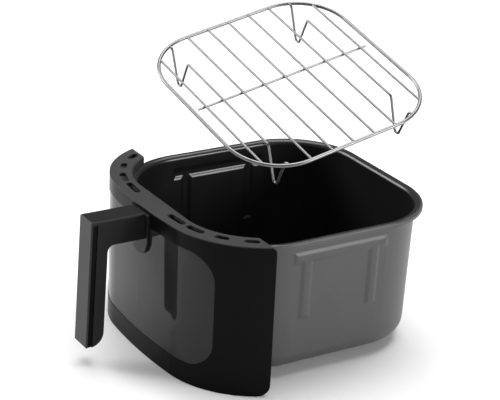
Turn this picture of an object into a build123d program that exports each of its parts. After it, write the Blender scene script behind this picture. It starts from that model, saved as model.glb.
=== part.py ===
"""Drawer of a basket air fryer: pan, windowed front, L-shaped handle and a lift-out wire rack.

Frame: +Z up, the front and its handle face -Y, and X = 0 is the plane of symmetry.
The origin is the centre of the pan's flat base. All sizes are in millimetres and degrees.
"""
import os
from math import asin, atan, atan2, cos, degrees, hypot, radians, sin, sqrt, tan

from build123d import *

# Pan: pressed steel with a turned-over lip
PAN_WIDTH = 240.0
PAN_DEPTH = 246.0
PAN_HEIGHT = 131.5
LIP_CORNER_R = 75.0
LIP_OVERHANG = 6.6
LIP_DROP = 4.6
LIP_EDGE_R = 2.2
PAN_WALL = 1.2
WALL_TAPER = 1.5
BASE_FILLET = 14.0
RIM_ROUND = 4.6
RIM_FLARE = 2.6

# Table-shaped stiffening rib pressed outwards in each side wall
RIB_RISE = 2.0
RIB_CENTRE_Y = 2.5
RIB_BELOW_LIP = 13.0
RIB_BAR_LENGTH = 103.0
RIB_WIDTH = 12.0
RIB_LEG_SPACING = 73.0
RIB_BOTTOM_Z = 50.0

# Front cover: a curved shell around the front of the pan
COVER_FRONT_REACH = 21.5
COVER_SIDE_REACH = 19.5
COVER_LENGTH = 63.85
COVER_FRONT_R = 532.4
COVER_CORNER_R = 92.8
COVER_WALL = 3.0
COVER_BELOW_BASE = 8.0
COVER_ABOVE_LIP = 6.7
COVER_TOP_CORNER_R = 5.0
COVER_BOTTOM_CORNER_R = 11.0
COVER_RETURN = 7.0

# Vent trim: the C-shaped collar that closes the gap between the cover and the pan's lip
TRIM_LID = 1.0
TRIM_PLATE = 3.3
TRIM_END_SETBACK = 3.85
TRIM_LIP_COVER = 2.4
TRIM_WALL = 2.0
TRIM_SKIRT = 1.5
TRIM_INNER_EDGE_R = 2.0
SLOT_INSET = 12.2
SLOT_WIDTH = 6.6
SLOT_ANGLES = {34.0: 8.0, 53.5: 8.0, 74.0: 15.0}
SLOT_FRONT_X = 41.9
SLOT_FRONT_LENGTH = 19.0

# Smoked window in the cover
WINDOW_HALF_WIDTH = 102.0
WINDOW_LOWER_BAND = 20.0
WINDOW_UPPER_BAND = 14.2
WINDOW_CORNER_R = 26.0
WINDOW_RECESS = 0.4
WINDOW_FLANGE = 5.0
WINDOW_FLANGE_THICKNESS = 1.5
GASKET_THICKNESS = 0.8
RETAINER_BAND = 11.0
RETAINER_THICKNESS = 2.0
RETAINER_SCREW_X = 45.0
RETAINER_SCREW_MARGIN = 8.2
RETAINER_SCREW_R = 1.25
RETAINER_BOSS_R = 2.6

# Inner window in the pan's front wall
INNER_OPENING_WIDTH = 72.0
INNER_OPENING_LOW_Z = 30.0
INNER_OPENING_BELOW_LIP = 37.5
INNER_OPENING_CORNER_R = 8.0
INNER_GLASS_LAP = 6.0
INNER_GLASS_THICKNESS = 3.0
INNER_GLASS_CORNER_R = 12.0
INNER_GASKET_THICKNESS = 1.5
INNER_FRAME_SIDE = 3.0
INNER_FRAME_BAND = 11.0
INNER_FRAME_CORNER_R = 10.0
INNER_FRAME_PLATE = 1.2
INNER_FRAME_LAP = 5.0
STUD_R = 1.5
STUD_LENGTH = 9.5
STUD_SPACING = 34.0
STUD_FROM_GLASS = 5.5
NUT_FLATS = 5.5
NUT_HEIGHT = 2.4

# Handle: a horizontal arm with a grip hanging from its end
HANDLE_WIDTH = 25.0
HANDLE_BELOW_COVER = 1.9
ARM_HEIGHT = 25.5
HANDLE_REACH = 55.9
GRIP_DEPTH = 18.0
GRIP_LEAN = 2.2
GRIP_ABOVE_COVER = 19.2
GRIP_INNER_R = 6.5
GRIP_HEEL_R = 14.0
GRIP_TOE_R = 1.5
HANDLE_EDGE_R = 1.6
CAP_THICKNESS = 1.4
STRIP_THICKNESS = 5.0
STRIP_INSET = 0.9
STRIP_TOP_GAP = 3.6
BASE_PLATE_THICKNESS = 2.4
BASE_PLATE_R = 17.0
BASE_PLATE_CENTRE_BELOW_LIP = 21.5
BASE_PLATE_BELOW_COVER = 2.5
BRIDGE_MARGIN = 0.8

# Handle bracket, its pad on the cover and its screws
BRACKET_SHEET = 2.0
BRACKET_HALF_WIDTH = 10.2
BRACKET_FLANGE_HALF_WIDTH = 30.0
BRACKET_LOW_BELOW_LIP = 19.0
BRACKET_HIGH_BELOW_LIP = 6.5
BRACKET_FACE_BELOW_LIP = 0.5
PAD_HALF_WIDTH = 10.6
PAD_DEPTH = 2.0
HANDLE_SCREW_R = 2.5
HANDLE_SCREWS_BELOW_LIP = (13.5, 2.5)
HANDLE_SCREW_DEPTH = 14.0
HANDLE_SCREW_HEAD_R = 3.6
HANDLE_SCREW_HEAD = 2.8

# Side brackets that tie the rear ends of the cover to the pan
SIDE_BRACKET_ANGLE = 28.0
SIDE_BRACKET_LOW_Z = 62.0
SIDE_BRACKET_HEIGHT = 20.0
SIDE_BRACKET_HALF_WIDTH = 6.0
SIDE_BOSS_R = 4.0
SIDE_BOSS_DEPTH = 4.0
SIDE_SCREW_R = 1.75
SIDE_WEB_LENGTH = 40.0

# Clearances
FIT = 0.3
THREAD_FIT = 0.05

# Wire rack, and how far and at what tilt it is held above the pan
RACK_SIDE_GAP = 17.5
RACK_END_GAP = 23.4
RACK_CORNER_R = 52.0
RING_WIRE_R = 1.7
RACK_WIRE_R = 1.15
RACK_WIRE_RISE = 0.3
WELD = 0.5
CROSS_OUTER_INSET = 13.6
LEG_INSET = 32.2
LEG_TO_CROSS = 21.6
CENTRE_WIRE_X = -7.6
CENTRE_WIRE_INSET = 6.6
FOOT_INSET = 22.4
FOOT_HALF_TOP = 13.6
FOOT_DEPTH = 34.0
FOOT_BEND_R = 3.5
SEAT_GAP = 0.3
SEAT_X = 1.4
SEAT_Y = 6.6
SEAT_YAW = 3.4
LIFT = 212.4
LIFT_DRIFT = 26.8
LIFT_TILT = 19.6
LIFT_AXIS_HEADING = 59.1

# Places that follow from the sizes above
COVER_HALF_WIDTH = PAN_WIDTH / 2 + COVER_SIDE_REACH
COVER_FRONT_Y = -(PAN_DEPTH / 2 + COVER_FRONT_REACH)
COVER_END_Y = COVER_FRONT_Y + COVER_LENGTH
COVER_BOTTOM_Z = -COVER_BELOW_BASE
COVER_TOP_Z = PAN_HEIGHT + COVER_ABOVE_LIP
TRIM_TOP_Z = COVER_TOP_Z + TRIM_LID
TRIM_END_Y = COVER_END_Y - TRIM_END_SETBACK
RIB_TOP_Z = PAN_HEIGHT - RIB_BELOW_LIP
WINDOW_LOW_Z = COVER_BOTTOM_Z + WINDOW_LOWER_BAND
WINDOW_HIGH_Z = COVER_TOP_Z - WINDOW_UPPER_BAND
INNER_OPENING_HEIGHT = PAN_HEIGHT - INNER_OPENING_BELOW_LIP - INNER_OPENING_LOW_Z
INNER_OPENING = (INNER_OPENING_WIDTH, INNER_OPENING_HEIGHT)
INNER_WINDOW_Z = INNER_OPENING_LOW_Z + INNER_OPENING_HEIGHT / 2
INNER_GLASS = (INNER_OPENING_WIDTH + 2 * INNER_GLASS_LAP, INNER_OPENING_HEIGHT + 2 * INNER_GLASS_LAP)
INNER_FRAME = (INNER_GLASS[0] + 2 * INNER_FRAME_SIDE, INNER_GLASS[1] + 2 * INNER_FRAME_BAND)
STUD_HEIGHT = INNER_GLASS[1] / 2 + STUD_FROM_GLASS
HANDLE_TOP_Z = COVER_TOP_Z - HANDLE_BELOW_COVER
GRIP_FRONT_Y = COVER_FRONT_Y - HANDLE_REACH
GRIP_BOTTOM_Z = COVER_BOTTOM_Z + GRIP_ABOVE_COVER
BASE_PLATE_CENTRE_Z = PAN_HEIGHT - BASE_PLATE_CENTRE_BELOW_LIP
BASE_PLATE_TOP_Z = COVER_TOP_Z - BASE_PLATE_BELOW_COVER
BRACKET_LOW_Z = PAN_HEIGHT - BRACKET_LOW_BELOW_LIP
BRACKET_HIGH_Z = PAN_HEIGHT - BRACKET_HIGH_BELOW_LIP
BRACKET_FACE_HIGH_Z = PAN_HEIGHT - BRACKET_FACE_BELOW_LIP
HANDLE_SCREW_Z = [PAN_HEIGHT - drop for drop in HANDLE_SCREWS_BELOW_LIP]
RACK_HALF_X = PAN_WIDTH / 2 - RACK_SIDE_GAP
RACK_HALF_Y = PAN_DEPTH / 2 - RACK_END_GAP
CROSS_OUTER_Y = RACK_HALF_Y - CROSS_OUTER_INSET
LEG_Y = RACK_HALF_Y - LEG_INSET
CROSS_PITCH = (LEG_Y - LEG_TO_CROSS) / 2
CENTRE_WIRE_HALF = RACK_HALF_Y - CENTRE_WIRE_INSET
FOOT_X = RACK_HALF_X - FOOT_INSET
WALL_SLOPE = tan(radians(WALL_TAPER))
CORNER_X = COVER_HALF_WIDTH - COVER_CORNER_R
FRONT_CENTRE_Y = COVER_FRONT_Y + COVER_FRONT_R
CORNER_Y = FRONT_CENTRE_Y - sqrt((COVER_FRONT_R - COVER_CORNER_R) ** 2 - CORNER_X**2)
RETAINER_DEPTH = COVER_WALL + GASKET_THICKNESS + WINDOW_FLANGE_THICKNESS
PAD_FACE_Y = COVER_FRONT_Y + COVER_WALL + PAD_DEPTH


def block(x, y, z):
    """Box between two corners, given as (low, high) pairs for each axis."""
    size = [high - low for low, high in (x, y, z)]
    centre = [(high + low) / 2 for low, high in (x, y, z)]
    return Pos(*centre) * Box(*size)


def mirrored(shape):
    """The shape together with its mirror image in X = 0."""
    return Compound([*shape.solids(), *mirror(shape, about=Plane.YZ).solids()])


def rounded_block(half_x, half_y, corner_r, z_low, z_high):
    """Upright block with rounded corners."""
    outline = RectangleRounded(2 * half_x, 2 * half_y, corner_r)
    return extrude(Plane.XY.offset(z_low) * outline, z_high - z_low)


def lip_block(inset, z_low, z_high):
    """Upright block that follows the lip's outline, moved inwards by inset."""
    return rounded_block(PAN_WIDTH / 2 - inset, PAN_DEPTH / 2 - inset, LIP_CORNER_R - inset, z_low, z_high)


def wall_inset(z):
    """Distance from the lip's edge to the wall's outer face at height z."""
    return LIP_OVERHANG + (PAN_HEIGHT - z) * WALL_SLOPE


def pan_block(grow, z_low, z_high):
    """Tapered block inside the pan wall's outer face moved outwards by grow."""
    inset = wall_inset(z_high) - grow
    outline = RectangleRounded(PAN_WIDTH - 2 * inset, PAN_DEPTH - 2 * inset, LIP_CORNER_R - inset)
    downwards = Plane(origin=(0, 0, z_high), x_dir=(1, 0, 0), z_dir=(0, 0, -1))
    return extrude(downwards * outline, z_high - z_low, taper=WALL_TAPER)


def bottom_filleted(solid, radius):
    """The solid with the edges of its lowest face rounded."""
    return fillet(solid.faces().sort_by(Axis.Z)[0].edges(), radius)


def rib_outline(shrink):
    """Bar on two legs, seen from the side, in the YZ plane."""
    width = RIB_WIDTH - 2 * shrink
    bar_z = RIB_TOP_Z - RIB_WIDTH / 2
    leg_low = RIB_BOTTOM_Z + shrink
    leg_length = bar_z - leg_low
    outline = Pos(RIB_CENTRE_Y, bar_z) * Rectangle(RIB_BAR_LENGTH - 2 * shrink, width)
    for side in (-1, 1):
        leg_y = RIB_CENTRE_Y + side * RIB_LEG_SPACING / 2
        outline += Pos(leg_y, leg_low + leg_length / 2) * Rectangle(width, leg_length)
    return outline


def rib(rise, shrink):
    """Rib on the +X wall, standing out of the wall's outer face by rise."""
    half_width = PAN_WIDTH / 2
    prism = extrude(Plane.YZ.offset(half_width / 2) * rib_outline(shrink), half_width)
    return pan_block(rise, BASE_FILLET, PAN_HEIGHT) & prism


def pan_lip():
    """Lip: a flange turned down at its edge."""
    outer = lip_block(0, PAN_HEIGHT - LIP_DROP, PAN_HEIGHT)
    outer = fillet(outer.faces().sort_by(Axis.Z)[-1].edges(), LIP_EDGE_R)
    hollow = lip_block(PAN_WALL, PAN_HEIGHT - LIP_DROP, PAN_HEIGHT - PAN_WALL)
    hollow = fillet(hollow.faces().sort_by(Axis.Z)[-1].edges(), LIP_EDGE_R - PAN_WALL)
    under_z = PAN_HEIGHT - PAN_WALL
    flare_outline = RectangleRounded(
        PAN_WIDTH - 2 * wall_inset(under_z) + 2 * RIM_FLARE,
        PAN_DEPTH - 2 * wall_inset(under_z) + 2 * RIM_FLARE,
        LIP_CORNER_R - wall_inset(under_z) + RIM_FLARE,
    )
    downwards = Plane(origin=(0, 0, under_z), x_dir=(1, 0, 0), z_dir=(0, 0, -1))
    flare = extrude(downwards * flare_outline, 2 * RIM_FLARE, taper=45 / 2)
    return (outer - hollow) + flare


def wall_plane():
    """Plane on the pan's front wall, at the middle of the inner window, facing outwards."""
    y = -(PAN_DEPTH / 2 - wall_inset(INNER_WINDOW_Z))
    tilt = radians(WALL_TAPER)
    return Plane(origin=(0, y, INNER_WINDOW_Z), x_dir=(1, 0, 0), z_dir=(0, -cos(tilt), -sin(tilt)))


def wall_slab(size, corner_r, low, high):
    """Rounded slab on the front wall, between two heights above the wall."""
    slab = extrude(RectangleRounded(*size, corner_r), high - low)
    return wall_plane() * Pos(0, 0, low) * slab


def stud_places():
    """Places of the six studs on the front wall plane."""
    return [(x, y) for x in (-STUD_SPACING, 0, STUD_SPACING) for y in (-STUD_HEIGHT, STUD_HEIGHT)]


def on_studs(shape):
    """One copy of the shape at each stud."""
    return Compound([(wall_plane() * Pos(x, y, 0) * shape).solid() for x, y in stud_places()])


def pan():
    """Pressed pan with its lip, side ribs and window opening."""
    outer = bottom_filleted(pan_block(0, 0, PAN_HEIGHT), BASE_FILLET)
    side_rib = rib(RIB_RISE, 0)
    shell = outer + pan_lip() + side_rib + mirror(side_rib, about=Plane.YZ)
    hollow = bottom_filleted(pan_block(-PAN_WALL, PAN_WALL, PAN_HEIGHT), BASE_FILLET - PAN_WALL)
    side_groove = rib(RIB_RISE - PAN_WALL, PAN_WALL)
    shell -= hollow + side_groove + mirror(side_groove, about=Plane.YZ)
    rim_edge = shell.edges().filter_by(lambda edge: edge.center().Z > PAN_HEIGHT - 0.01)
    inner_half = PAN_WIDTH / 2 - wall_inset(PAN_HEIGHT) - PAN_WALL / 2
    rim_edge = rim_edge.filter_by(lambda edge: edge.bounding_box().max.X < inner_half)
    shell = fillet(rim_edge, RIM_ROUND)
    opening = wall_slab(INNER_OPENING, INNER_OPENING_CORNER_R, -3 * PAN_WALL, 3 * PAN_WALL)
    return shell - opening


def inner_window_gasket():
    """Seal between the pan's front wall and the inner glass."""
    ring = wall_slab(INNER_GLASS, INNER_GLASS_CORNER_R, 0, INNER_GASKET_THICKNESS)
    return ring - wall_slab(INNER_OPENING, INNER_OPENING_CORNER_R, -1, INNER_GASKET_THICKNESS + 1)


def inner_window_glass():
    """Flat toughened pane over the opening in the pan's front wall."""
    front = INNER_GASKET_THICKNESS + INNER_GLASS_THICKNESS
    return wall_slab(INNER_GLASS, INNER_GLASS_CORNER_R, INNER_GASKET_THICKNESS, front)


def inner_window_frame():
    """Frame that clamps the inner glass, with six holes for the studs."""
    pocket_depth = INNER_GASKET_THICKNESS + INNER_GLASS_THICKNESS
    top = pocket_depth + INNER_FRAME_PLATE
    frame = wall_slab(INNER_FRAME, INNER_FRAME_CORNER_R, 0, top)
    pocket = [side + 2 * FIT for side in INNER_GLASS]
    frame -= wall_slab(pocket, INNER_GLASS_CORNER_R + FIT, -1, pocket_depth)
    sight = [side - 2 * INNER_FRAME_LAP for side in INNER_GLASS]
    frame -= wall_slab(sight, INNER_GLASS_CORNER_R - INNER_FRAME_LAP, 0, top + 1)
    hole = Pos(0, 0, top / 2) * Cylinder(STUD_R + FIT, 2 * top)
    return frame - on_studs(hole)


def inner_window_studs():
    """Threaded studs welded to the pan's front wall."""
    return on_studs(Pos(0, 0, STUD_LENGTH / 2) * Cylinder(STUD_R, STUD_LENGTH))


def inner_window_nuts():
    """Hexagon nuts on the studs."""
    seat = INNER_GASKET_THICKNESS + INNER_GLASS_THICKNESS + INNER_FRAME_PLATE
    nut = extrude(RegularPolygon(NUT_FLATS / 2, 6, major_radius=False), NUT_HEIGHT)
    nut -= Pos(0, 0, NUT_HEIGHT / 2) * Cylinder(STUD_R + THREAD_FIT, 2 * NUT_HEIGHT)
    return on_studs(Pos(0, 0, seat) * nut)


def cover_block(inset, z_low, z_high, end_y=COVER_END_Y):
    """Upright block inside the cover's outer outline moved inwards by inset, in front of end_y."""
    front_r = COVER_FRONT_R - inset
    corner_r = COVER_CORNER_R - inset
    join = atan2(CORNER_Y - FRONT_CENTRE_Y, CORNER_X)
    end = asin((end_y - CORNER_Y) / corner_r)
    middle = (join + end) / 2
    tangent = (front_r * cos(join), FRONT_CENTRE_Y + front_r * sin(join))
    bend = (CORNER_X + corner_r * cos(middle), CORNER_Y + corner_r * sin(middle))
    tip = (CORNER_X + corner_r * cos(end), end_y)
    front = (0, COVER_FRONT_Y + inset)
    outline = [
        ThreePointArc(tip, bend, tangent),
        ThreePointArc(tangent, front, (-tangent[0], tangent[1])),
        ThreePointArc((-tangent[0], tangent[1]), (-bend[0], bend[1]), (-tip[0], tip[1])),
        Line((-tip[0], tip[1]), tip),
    ]
    return extrude(Plane.XY.offset(z_low) * make_face(outline), z_high - z_low)


def cover_shell(near, far, z_low, z_high, end_y=COVER_END_Y):
    """Curved wall between two insets from the cover's outer face."""
    return cover_block(near, z_low, z_high, end_y) - cover_block(far, z_low - 1, z_high + 1, end_y + 50)


def front_face_y(x, inset):
    """Y of the cover's front face at x, moved inwards by inset. Holds between the corner arcs."""
    return FRONT_CENTRE_Y - sqrt((COVER_FRONT_R - inset) ** 2 - x**2)


def corner_place(angle, inset, z=0.0):
    """Location at an angle in front of +X on the corner arc: local X points outwards."""
    reach = COVER_CORNER_R - inset
    turn = radians(angle)
    return Pos(CORNER_X + reach * cos(turn), CORNER_Y - reach * sin(turn), z) * Rot(0, 0, -angle)


def side_profile(grow):
    """Prism across X with the rounded rear corners of the cover, seen from the side."""
    low, high = COVER_BOTTOM_Z - grow, COVER_TOP_Z + grow
    depth = 2 * PAN_DEPTH
    outline = Pos(COVER_END_Y - depth / 2, (low + high) / 2) * Rectangle(depth, high - low)
    rear = outline.vertices().group_by(Axis.X)[-1].sort_by(Axis.Y)
    outline = fillet(rear[0], COVER_BOTTOM_CORNER_R)
    rear = outline.vertices().sort_by(Axis.Y)[-2:].sort_by(Axis.X)[-1]
    outline = fillet(rear, COVER_TOP_CORNER_R)
    return extrude(Plane.YZ.offset(-PAN_WIDTH) * outline, 2 * PAN_WIDTH)


def window_prism(grow, bridge=True):
    """Prism along Y with the window's outline grown on all sides, less the bridge behind the handle."""
    half, low, high = WINDOW_HALF_WIDTH + grow, WINDOW_LOW_Z - grow, WINDOW_HIGH_Z + grow
    outline = Pos(0, (low + high) / 2) * RectangleRounded(2 * half, high - low, WINDOW_CORNER_R + grow)
    if bridge:
        notch_r = BASE_PLATE_R - BRIDGE_MARGIN - grow
        notch_top = Rectangle(2 * notch_r, 2 * BASE_PLATE_R, align=(Align.CENTER, Align.MIN))
        outline -= Pos(0, BASE_PLATE_CENTRE_Z) * (Circle(notch_r) + notch_top)
    rear_y = COVER_END_Y
    plane = Plane(origin=(0, rear_y, 0), x_dir=(1, 0, 0), z_dir=(0, -1, 0))
    return extrude(plane * outline, PAN_DEPTH / 2)


def retainer_screw_places():
    """X and Z of the four screws of the window retainer."""
    high = WINDOW_HIGH_Z + RETAINER_SCREW_MARGIN
    low = WINDOW_LOW_Z - RETAINER_SCREW_MARGIN
    return [(x, z) for x in (-RETAINER_SCREW_X, RETAINER_SCREW_X) for z in (low, high)]


def along_y(radius, x, z, y_low, y_high):
    """Cylinder along Y."""
    return Pos(x, (y_low + y_high) / 2, z) * Rot(90, 0, 0) * Cylinder(radius, y_high - y_low)


def handle_screw_holes(radius, y_low, y_high):
    """Cylinders along Y at the two handle screws."""
    return Compound([along_y(radius, 0, z, y_low, y_high).solid() for z in HANDLE_SCREW_Z])


def handle_pad():
    """Flat pad inside the cover, with a half-round lower end, that the bracket is screwed to."""
    height = BRACKET_FACE_HIGH_Z - BASE_PLATE_CENTRE_Z
    upper = Rectangle(2 * PAD_HALF_WIDTH, height, align=(Align.CENTER, Align.MIN))
    outline = Pos(0, BASE_PLATE_CENTRE_Z) * (Circle(PAD_HALF_WIDTH) + upper)
    plane = Plane(origin=(0, PAD_FACE_Y, 0), x_dir=(1, 0, 0), z_dir=(0, -1, 0))
    prism = extrude(plane * outline, PAD_DEPTH + COVER_WALL)
    return prism & cover_block(COVER_WALL / 2, COVER_BOTTOM_Z, COVER_TOP_Z)


def side_boss():
    """Boss inside the cover's +X end for the side bracket's screw."""
    z = SIDE_BRACKET_LOW_Z + SIDE_BRACKET_HEIGHT / 2
    place = corner_place(SIDE_BRACKET_ANGLE, COVER_WALL + SIDE_BOSS_DEPTH, z)
    length = SIDE_BOSS_DEPTH + COVER_WALL / 2
    post = place * Pos(length / 2, 0, 0) * Rot(0, 90, 0) * Cylinder(SIDE_BOSS_R, length)
    pilot_length = SIDE_BOSS_DEPTH + COVER_WALL / 3
    pilot = place * Pos(pilot_length / 2, 0, 0) * Rot(0, 90, 0) * Cylinder(SIDE_SCREW_R + THREAD_FIT, pilot_length)
    return post, pilot


def front_cover():
    """Curved front shell with the window opening, handle pad and bosses."""
    cover = cover_shell(0, COVER_WALL, COVER_BOTTOM_Z, COVER_TOP_Z)
    cover += cover_shell(0, COVER_RETURN, COVER_BOTTOM_Z, COVER_BOTTOM_Z + COVER_WALL)
    cover &= side_profile(0)
    cover -= window_prism(0)
    cover += handle_pad()
    cover -= handle_screw_holes(HANDLE_SCREW_R + FIT, COVER_FRONT_Y - 1, PAD_FACE_Y + 1)
    boss_zone = cover_shell(COVER_WALL / 2, RETAINER_DEPTH, COVER_BOTTOM_Z, COVER_TOP_Z)
    for x, z in retainer_screw_places():
        face_y = front_face_y(x, RETAINER_DEPTH)
        cover += along_y(RETAINER_BOSS_R, x, z, COVER_FRONT_Y, face_y + COVER_WALL) & boss_zone
        tip_y = front_face_y(x, COVER_WALL * 2 / 3)
        cover -= along_y(RETAINER_SCREW_R + THREAD_FIT, x, z, tip_y, face_y + COVER_WALL)
    post, pilot = side_boss()
    cover += post + mirror(post, about=Plane.YZ)
    return cover - pilot - mirror(pilot, about=Plane.YZ)


def window_gasket():
    """Seal between the cover's inner face and the pane's flange."""
    zone = cover_shell(COVER_WALL, COVER_WALL + GASKET_THICKNESS, COVER_BOTTOM_Z, COVER_TOP_Z)
    return (zone & window_prism(WINDOW_FLANGE - FIT)) - window_prism(FIT)


def window_glass():
    """Curved smoked pane, almost flush with the cover, on a flange behind it."""
    flange_near = COVER_WALL + GASKET_THICKNESS
    front = cover_shell(WINDOW_RECESS, RETAINER_DEPTH, COVER_BOTTOM_Z, COVER_TOP_Z) & window_prism(-FIT)
    flange = cover_shell(flange_near, RETAINER_DEPTH, COVER_BOTTOM_Z, COVER_TOP_Z)
    return front + (flange & window_prism(WINDOW_FLANGE))


def window_retainer():
    """Frame behind the pane, screwed to the cover's bosses."""
    far = RETAINER_DEPTH + RETAINER_THICKNESS
    zone = cover_shell(RETAINER_DEPTH, far, COVER_BOTTOM_Z, COVER_TOP_Z)
    frame = (zone & window_prism(RETAINER_BAND, bridge=False)) - window_prism(-RETAINER_THICKNESS, bridge=False)
    handle_gap = PAD_HALF_WIDTH + RETAINER_THICKNESS
    frame -= block((-handle_gap, handle_gap), (COVER_FRONT_Y, COVER_END_Y), (INNER_WINDOW_Z, COVER_TOP_Z))
    for x, z in retainer_screw_places():
        face_y = front_face_y(x, far)
        frame -= along_y(RETAINER_SCREW_R + FIT, x, z, COVER_FRONT_Y, face_y + COVER_WALL)
    return frame


def window_retainer_screws():
    """Four pan-head screws of the retainer."""
    far = RETAINER_DEPTH + RETAINER_THICKNESS
    screws = []
    for x, z in retainer_screw_places():
        seat_y = front_face_y(abs(x) + 2 * RETAINER_SCREW_R, far) + THREAD_FIT
        tip_y = front_face_y(x, COVER_WALL * 2 / 3) + FIT
        head = along_y(2 * RETAINER_SCREW_R, x, z, seat_y, seat_y + RETAINER_SCREW_R)
        screws.append((head + along_y(RETAINER_SCREW_R, x, z, tip_y, seat_y)).solid())
    return Compound(screws)


def vent_slot(angle, length, cut):
    """Slot on the corner arc, as long as length between its round ends' centres."""
    radius = COVER_CORNER_R - SLOT_INSET
    sweep_angle = degrees(length / radius)
    arc = CenterArc((CORNER_X, CORNER_Y), radius, -angle - sweep_angle / 2, sweep_angle)
    return extrude(Plane.XY.offset(TRIM_TOP_Z - 2 * cut) * SlotArc(arc, SLOT_WIDTH), 3 * cut)


def front_slot(cut):
    """Slot on the front arc, beside the handle."""
    radius = COVER_FRONT_R - SLOT_INSET
    sweep_angle = degrees(SLOT_FRONT_LENGTH / radius)
    centre_angle = -90 + degrees(asin(SLOT_FRONT_X / radius))
    arc = CenterArc((0, FRONT_CENTRE_Y), radius, centre_angle - sweep_angle / 2, sweep_angle)
    return extrude(Plane.XY.offset(TRIM_TOP_Z - 2 * cut) * SlotArc(arc, SLOT_WIDTH), 3 * cut)


def vent_trim():
    """Slotted collar with an ear over each front corner of the pan."""
    step_inset = COVER_WALL + FIT
    plate_low = TRIM_TOP_Z - TRIM_PLATE
    lid = cover_block(0, COVER_TOP_Z, TRIM_TOP_Z, TRIM_END_Y)
    body = cover_block(step_inset, plate_low, COVER_TOP_Z, TRIM_END_Y)
    trim = (lid + body) - lip_block(TRIM_LIP_COVER, PAN_HEIGHT, TRIM_TOP_Z + 1)
    inner_edges = trim.faces().sort_by(Axis.Z)[-1].edges()
    inner_edges = inner_edges.filter_by(lambda edge: on_lip_outline(edge))
    trim = fillet(inner_edges, TRIM_INNER_EDGE_R)
    wall = lip_block(TRIM_LIP_COVER - TRIM_WALL, PAN_HEIGHT, plate_low)
    wall -= lip_block(TRIM_LIP_COVER, PAN_HEIGHT - 1, plate_low + 1)
    collar_zone = cover_block(step_inset, PAN_HEIGHT, plate_low, TRIM_END_Y)
    end_zone = collar_zone - cover_block(step_inset, PAN_HEIGHT - 1, plate_low + 1, TRIM_END_Y - TRIM_WALL)
    end_walls = end_zone - lip_block(TRIM_LIP_COVER, PAN_HEIGHT - 1, plate_low + 1)
    skirt_low = WINDOW_HIGH_Z + WINDOW_FLANGE + 1
    skirt = cover_shell(step_inset, step_inset + TRIM_SKIRT, skirt_low, plate_low, TRIM_END_Y)
    skirt &= cover_block(step_inset, skirt_low, plate_low, TRIM_END_Y)
    for x, z in retainer_screw_places():
        reach = RETAINER_BOSS_R + 2 * FIT
        skirt -= block((x - reach, x + reach), (2 * COVER_FRONT_Y, 0), (skirt_low - 1, plate_low))
    handle_gap = PAD_HALF_WIDTH + RETAINER_THICKNESS
    skirt -= block((-handle_gap, handle_gap), (2 * COVER_FRONT_Y, 0), (skirt_low - 1, plate_low))
    trim += (wall & collar_zone) + end_walls + skirt
    slots = [vent_slot(angle, length, TRIM_PLATE) for angle, length in SLOT_ANGLES.items()]
    slots.append(front_slot(TRIM_PLATE))
    for slot in slots:
        trim -= slot + mirror(slot, about=Plane.YZ)
    return trim


def on_lip_outline(edge):
    """Whether an edge of the trim's top face lies on its inner outline."""
    centre = edge.center()
    inner_half = PAN_WIDTH / 2 - TRIM_LIP_COVER
    across = max(abs(centre.X), 0.01)
    corner_x = PAN_WIDTH / 2 - LIP_CORNER_R
    corner_y = -(PAN_DEPTH / 2 - LIP_CORNER_R)
    if across < corner_x:
        return abs(centre.Y + PAN_DEPTH / 2 - TRIM_LIP_COVER) < 0.5
    middle = edge.position_at(0.5)
    reach = hypot(abs(middle.X) - corner_x, middle.Y - corner_y)
    return across < inner_half and abs(reach - (LIP_CORNER_R - TRIM_LIP_COVER)) < 0.2


def handle_bracket():
    """Steel bracket welded to the pan's front wall, with the handle's face plate."""
    face = block((-BRACKET_HALF_WIDTH, BRACKET_HALF_WIDTH), (PAD_FACE_Y, PAD_FACE_Y + BRACKET_SHEET),
                 (BRACKET_LOW_Z, BRACKET_FACE_HIGH_Z))
    bracket = face
    for side in (-1, 1):
        inner = side * (BRACKET_HALF_WIDTH - BRACKET_SHEET)
        outer = side * BRACKET_HALF_WIDTH
        web_x = (min(inner, outer), max(inner, outer))
        bracket += block(web_x, (PAD_FACE_Y, -PAN_DEPTH / 3), (BRACKET_LOW_Z, BRACKET_HIGH_Z))
        tip = side * BRACKET_FLANGE_HALF_WIDTH
        flange_x = (min(inner, tip), max(inner, tip))
        flange = block(flange_x, (PAD_FACE_Y, -PAN_DEPTH / 3), (BRACKET_LOW_Z, BRACKET_HIGH_Z))
        bracket += flange & pan_block(BRACKET_SHEET, BASE_FILLET, PAN_HEIGHT)
    bracket -= pan_block(0, BASE_FILLET, PAN_HEIGHT)
    return bracket - handle_screw_holes(HANDLE_SCREW_R + FIT, PAD_FACE_Y - 1, PAD_FACE_Y + 2 * BRACKET_SHEET)


def side_bracket():
    """Bracket on the +X side, from the pan's corner to the cover's boss."""
    z_low, z_high = SIDE_BRACKET_LOW_Z, SIDE_BRACKET_LOW_Z + SIDE_BRACKET_HEIGHT
    half = SIDE_BRACKET_HALF_WIDTH
    place = corner_place(SIDE_BRACKET_ANGLE, COVER_WALL + SIDE_BOSS_DEPTH)
    face = place * block((-BRACKET_SHEET, 0), (-half, half), (z_low, z_high))
    web = place * block((-SIDE_WEB_LENGTH, 0), (half - BRACKET_SHEET, half), (z_low, z_high))
    foot = place * block((-SIDE_WEB_LENGTH, 0), (-half, half), (z_low, z_high))
    foot &= pan_block(BRACKET_SHEET, BASE_FILLET, PAN_HEIGHT)
    bracket = (face + web + foot) - pan_block(0, BASE_FILLET, PAN_HEIGHT)
    hole_z = (z_low + z_high) / 2
    hole = place * Pos(0, 0, hole_z) * Rot(0, 90, 0) * Cylinder(SIDE_SCREW_R + FIT, 3 * BRACKET_SHEET)
    return bracket - hole


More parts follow.
